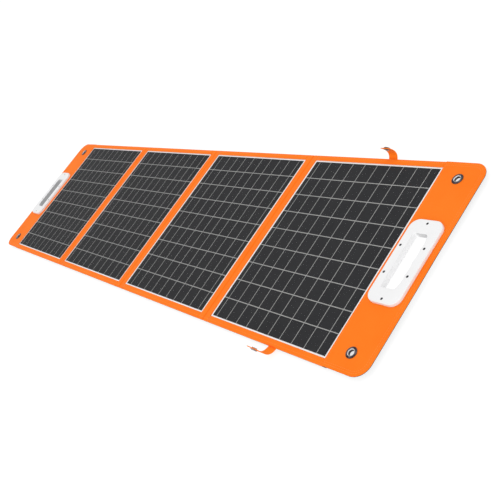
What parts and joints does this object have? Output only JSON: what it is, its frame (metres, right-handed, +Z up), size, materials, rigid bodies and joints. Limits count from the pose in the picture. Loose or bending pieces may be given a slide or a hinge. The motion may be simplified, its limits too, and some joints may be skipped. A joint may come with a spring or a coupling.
{
  "type": "folding solar panel",
  "caption": "Folding solar panel: stiff cell boards in one fabric body, a flap with a slotted handle at each end, eyelets and closure straps with press fasteners.",
  "frame": {"origin": "middle of the whole footprint, at the lowest point, which is the underside of the output box", "axes": "+X along the unfolded length from panel 1 to panel 4; +Y across it, towards the far closure strap; +Z up, out of the cell side"},
  "size_m": [1.556, 0.4354, 0.0462],
  "materials": {
    "orange_fabric": "coated woven polyester, satin, bright orange",
    "dark_fabric": "woven polyester, matte, charcoal",
    "core_board": "stiff fibre-filled plastic board, hidden inside",
    "backsheet": "smooth white laminate, seen as a thin border round the cells",
    "cells": "charcoal silicon cells with grey busbars",
    "front_film": "clear embossed film, satin",
    "handle_plastic": "moulded white plastic, soft gloss",
    "screw_steel": "dark zinc-plated steel",
    "nickel": "bright nickel plate",
    "box_plastic": "moulded black plastic, fine texture"
  },
  "bodies": {
    "panel_1": {"panel_1_rear_cover": "dark_fabric", "panel_1_board": "core_board", "panel_1_backsheet": "backsheet", "panel_1_cells": "cells", "panel_1_film": "front_film", "panel_1_front_cover": "orange_fabric", "left_flap_rear_cover": "dark_fabric", "left_handle_front": "handle_plastic", "left_handle_rear": "handle_plastic", "left_handle_screw_1": "screw_steel", "left_handle_screw_2": "screw_steel", "left_handle_screw_3": "screw_steel", "left_handle_screw_4": "screw_steel", "left_handle_screw_5": "screw_steel", "left_handle_screw_6": "screw_steel", "left_grommet_eyelet_1": "nickel", "left_grommet_washer_1": "nickel", "left_grommet_eyelet_2": "nickel", "left_grommet_washer_2": "nickel", "output_box_housing": "box_plastic", "output_box_lid": "box_plastic", "dc_socket": "box_plastic", "usb_socket": "nickel", "far_press_stud": "nickel", "near_press_stud": "nickel"},
    "panel_2": {"panel_2_rear_cover": "dark_fabric", "panel_2_board": "core_board", "panel_2_backsheet": "backsheet", "panel_2_cells": "cells", "panel_2_film": "front_film", "panel_2_front_cover": "orange_fabric"},
    "panel_3": {"panel_3_rear_cover": "dark_fabric", "panel_3_board": "core_board", "panel_3_backsheet": "backsheet", "panel_3_cells": "cells", "panel_3_film": "front_film", "panel_3_front_cover": "orange_fabric"},
    "panel_4": {"panel_4_rear_cover": "dark_fabric", "panel_4_board": "core_board", "panel_4_backsheet": "backsheet", "panel_4_cells": "cells", "panel_4_film": "front_film", "panel_4_front_cover": "orange_fabric", "right_flap_rear_cover": "dark_fabric", "right_handle_front": "handle_plastic", "right_handle_rear": "handle_plastic", "right_handle_screw_1": "screw_steel", "right_handle_screw_2": "screw_steel", "right_handle_screw_3": "screw_steel", "right_handle_screw_4": "screw_steel", "right_handle_screw_5": "screw_steel", "right_handle_screw_6": "screw_steel", "right_grommet_eyelet_1": "nickel", "right_grommet_washer_1": "nickel", "right_grommet_eyelet_2": "nickel", "right_grommet_washer_2": "nickel"},
    "far_closure_strap": {"far_strap": "orange_fabric", "far_strap_snap": "nickel"},
    "near_closure_strap": {"near_strap": "orange_fabric", "near_strap_snap": "nickel"}
  },
  "joints": [
    {"name": "fold_1_2", "type": "hinge", "parent": "panel_1", "child": "panel_2", "pos_m": [-0.353, 0.00783, 0.015], "axis": [0, -1, 0], "range_deg": [0, 179.5]},
    {"name": "fold_2_3", "type": "hinge", "parent": "panel_2", "child": "panel_3", "pos_m": [0, 0.00783, 0.003], "axis": [0, 1, 0], "range_deg": [0, 179.5]},
    {"name": "fold_3_4", "type": "hinge", "parent": "panel_3", "child": "panel_4", "pos_m": [0.353, 0.00783, 0.015], "axis": [0, -1, 0], "range_deg": [0, 179.5]},
    {"name": "far_strap_bend", "type": "hinge", "parent": "panel_4", "child": "far_closure_strap", "pos_m": [0.5645, 0.20933, 0.0065], "axis": [1, 0, 0], "range_deg": [-105, 0]},
    {"name": "near_strap_bend", "type": "hinge", "parent": "panel_4", "child": "near_closure_strap", "pos_m": [0.5645, -0.19367, 0.0065], "axis": [-1, 0, 0], "range_deg": [-75, 28]}
  ]
}
